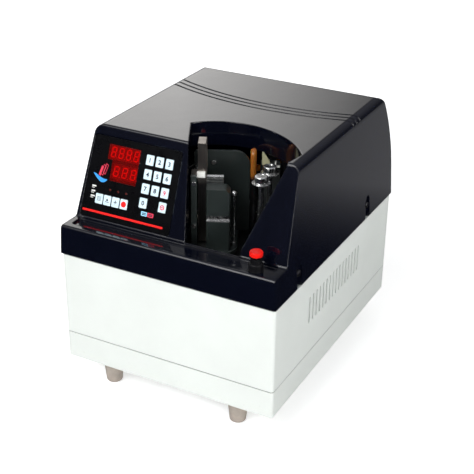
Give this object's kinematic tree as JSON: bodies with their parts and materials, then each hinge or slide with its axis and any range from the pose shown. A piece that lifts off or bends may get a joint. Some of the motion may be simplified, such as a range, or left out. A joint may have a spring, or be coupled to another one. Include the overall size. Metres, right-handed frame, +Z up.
{
  "type": "banknote bundle counter",
  "caption": "Desktop vacuum counter for banded banknotes: sloped keypad, swinging note holder with clamp, revolving suction spindle head, start button and vented case on rubber feet.",
  "frame": {"origin": "middle of the machine's footprint, on the floor under the feet", "axes": "+X to the machine's right seen from the front, +Y to the back, +Z up"},
  "size_m": [0.2996, 0.375, 0.334],
  "materials": {
    "white_casing": "satin powder coat",
    "black_cover": "polished",
    "foot_rubber": "matt",
    "black_screws": "black zinc",
    "zinc_screws": "bright zinc",
    "deck_steel": "satin black",
    "panel_film": "fine matt film",
    "red_filter": "tinted, clear",
    "digit_blocks": "matt",
    "circuit_board": "solder mask",
    "key_film": "soft sheen",
    "red_button": "polished",
    "black_plastic": "moulded",
    "holder_paint": "satin dark grey green",
    "bright_steel": "polished",
    "brushed_bar": "brushed",
    "pad_rubber": "matt",
    "plated_steel": "plated",
    "rotor_alloy": "machined",
    "gear_steel": "oiled",
    "bronze_cast": "machined grey",
    "belt_rubber": "matt",
    "pulley_alloy": "turned",
    "motor_paint": "satin",
    "pump_cast": "as cast",
    "amber_hose": "translucent tube",
    "valve_plastic": "moulded",
    "board_and_core": "mixed",
    "cream_plastic": "moulded"
  },
  "bodies": {
    "chassis": {"base_tray": "white_casing", "body_shell": "white_casing", "rear_panel": "deck_steel", "top_cover": "black_cover", "deck_plate": "deck_steel", "rubber_feet": "foot_rubber", "cover_screws": "black_screws", "machine_screws": "zinc_screws", "keypad_overlay": "panel_film", "display_window": "red_filter", "led_digits": "digit_blocks", "display_board": "circuit_board", "button_housing": "black_plastic", "holder_pivot_post": "plated_steel", "sensor_bracket": "deck_steel", "note_guide": "cream_plastic", "sun_gear": "gear_steel", "bearing_housing": "bronze_cast", "drive_belt": "belt_rubber", "drive_motor": "motor_paint", "motor_bracket": "plated_steel", "vacuum_pump": "pump_cast", "vacuum_hoses": "amber_hose", "vacuum_valve": "valve_plastic", "power_unit": "board_and_core", "mains_inlet": "black_plastic", "cooling_fan": "black_plastic"},
    "holder": {"holder_turntable": "holder_paint", "holder_column": "holder_paint", "holder_backplate": "holder_paint", "guide_rods": "bright_steel"},
    "clamp": {"clamp_bar": "brushed_bar", "clamp_pad": "pad_rubber", "clamp_carriage": "plated_steel"},
    "rotor": {"rotor_plate": "rotor_alloy", "rotor_shaft": "bright_steel", "rotor_pulley": "pulley_alloy"},
    "motor_drive": {"motor_pulley": "pulley_alloy"},
    "fan": {"fan_rotor": "black_plastic"},
    "start_button": {"start_button": "red_button"},
    "rocker": {"switch_rocker": "red_button"},
    "spindle_1": {"suction_spindle_1": "bright_steel"},
    "spindle_2": {"suction_spindle_2": "bright_steel"},
    "spindle_3": {"suction_spindle_3": "bright_steel"},
    "spindle_4": {"suction_spindle_4": "bright_steel"},
    "key_1": {"key_1": "key_film"},
    "key_2": {"key_2": "key_film"},
    "key_3": {"key_3": "key_film"},
    "key_4": {"key_4": "key_film"},
    "key_5": {"key_5": "key_film"},
    "key_6": {"key_6": "key_film"},
    "key_7": {"key_7": "key_film"},
    "key_8": {"key_8": "key_film"},
    "key_9": {"key_9": "key_film"},
    "key_0": {"key_0": "key_film"},
    "key_clear": {"key_clear": "key_film"},
    "key_mode": {"key_mode": "key_film"},
    "key_batch": {"key_batch": "key_film"},
    "key_add": {"key_add": "key_film"},
    "key_reset": {"key_reset": "key_film"}
  },
  "joints": [
    {"name": "holder_swing", "type": "hinge", "parent": "chassis", "child": "holder", "pos_m": [0.00781, -0.07841, 0.1925], "axis": [0, 0, 1], "range_deg": [0, 12]},
    {"name": "clamp_slide", "type": "slide", "parent": "holder", "child": "clamp", "axis": [-0.4321, 0.9018, 0], "range_m": [0, 0.012]},
    {"name": "rotor_spin", "type": "hinge", "parent": "chassis", "child": "rotor", "pos_m": [0.092, -0.0675, 0.1925], "axis": [0, 0, 1], "continuous": true},
    {"name": "spindle_1_spin", "type": "hinge", "parent": "rotor", "child": "spindle_1", "pos_m": [0.07336, -0.0536, 0.1925], "axis": [0, 0, 1], "continuous": true},
    {"name": "spindle_2_spin", "type": "hinge", "parent": "rotor", "child": "spindle_2", "pos_m": [0.0781, -0.08614, 0.1925], "axis": [0, 0, 1], "continuous": true},
    {"name": "spindle_3_spin", "type": "hinge", "parent": "rotor", "child": "spindle_3", "pos_m": [0.11064, -0.08139, 0.1925], "axis": [0, 0, 1], "continuous": true},
    {"name": "spindle_4_spin", "type": "hinge", "parent": "rotor", "child": "spindle_4", "pos_m": [0.1059, -0.04886, 0.1925], "axis": [0, 0, 1], "continuous": true},
    {"name": "motor_spin", "type": "hinge", "parent": "chassis", "child": "motor_drive", "pos_m": [0.092, 0.0375, 0.1475], "axis": [0, 0, 1], "continuous": true},
    {"name": "fan_spin", "type": "hinge", "parent": "chassis", "child": "fan", "pos_m": [-0.055, 0.1695, 0.125], "axis": [0, 1, 0], "continuous": true},
    {"name": "start_press", "type": "slide", "parent": "chassis", "child": "start_button", "axis": [0, 0, -1], "range_m": [0, 0.003], "stiffness_N_per_m": 200},
    {"name": "rocker_tilt", "type": "hinge", "parent": "chassis", "child": "rocker", "pos_m": [0.082, 0.17848, 0.136], "axis": [1, 0, 0], "range_deg": [-16, 0]},
    {"name": "key_1_press", "type": "slide", "parent": "chassis", "child": "key_1", "axis": [0, 0.9336, -0.3584], "range_m": [0, 0.0005]},
    {"name": "key_2_press", "type": "slide", "parent": "chassis", "child": "key_2", "axis": [0, 0.9336, -0.3584], "range_m": [0, 0.0005]},
    {"name": "key_3_press", "type": "slide", "parent": "chassis", "child": "key_3", "axis": [0, 0.9336, -0.3584], "range_m": [0, 0.0005]},
    {"name": "key_4_press", "type": "slide", "parent": "chassis", "child": "key_4", "axis": [0, 0.9336, -0.3584], "range_m": [0, 0.0005]},
    {"name": "key_5_press", "type": "slide", "parent": "chassis", "child": "key_5", "axis": [0, 0.9336, -0.3584], "range_m": [0, 0.0005]},
    {"name": "key_6_press", "type": "slide", "parent": "chassis", "child": "key_6", "axis": [0, 0.9336, -0.3584], "range_m": [0, 0.0005]},
    {"name": "key_7_press", "type": "slide", "parent": "chassis", "child": "key_7", "axis": [0, 0.9336, -0.3584], "range_m": [0, 0.0005]},
    {"name": "key_8_press", "type": "slide", "parent": "chassis", "child": "key_8", "axis": [0, 0.9336, -0.3584], "range_m": [0, 0.0005]},
    {"name": "key_9_press", "type": "slide", "parent": "chassis", "child": "key_9", "axis": [0, 0.9336, -0.3584], "range_m": [0, 0.0005]},
    {"name": "key_0_press", "type": "slide", "parent": "chassis", "child": "key_0", "axis": [0, 0.9336, -0.3584], "range_m": [0, 0.0005]},
    {"name": "key_clear_press", "type": "slide", "parent": "chassis", "child": "key_clear", "axis": [0, 0.9336, -0.3584], "range_m": [0, 0.0005]},
    {"name": "key_mode_press", "type": "slide", "parent": "chassis", "child": "key_mode", "axis": [0, 0.9336, -0.3584], "range_m": [0, 0.0005]},
    {"name": "key_batch_press", "type": "slide", "parent": "chassis", "child": "key_batch", "axis": [0, 0.9336, -0.3584], "range_m": [0, 0.0005]},
    {"name": "key_add_press", "type": "slide", "parent": "chassis", "child": "key_add", "axis": [0, 0.9336, -0.3584], "range_m": [0, 0.0005]},
    {"name": "key_reset_press", "type": "slide", "parent": "chassis", "child": "key_reset", "axis": [0, 0.9336, -0.3584], "range_m": [0, 0.0005]}
  ],
  "couplings": [
    {"joint": "spindle_1_spin", "follows": "rotor_spin", "ratio": 1},
    {"joint": "spindle_2_spin", "follows": "rotor_spin", "ratio": 1},
    {"joint": "spindle_3_spin", "follows": "rotor_spin", "ratio": 1},
    {"joint": "spindle_4_spin", "follows": "rotor_spin", "ratio": 1},
    {"joint": "motor_spin", "follows": "rotor_spin", "ratio": 2.4444}
  ]
}
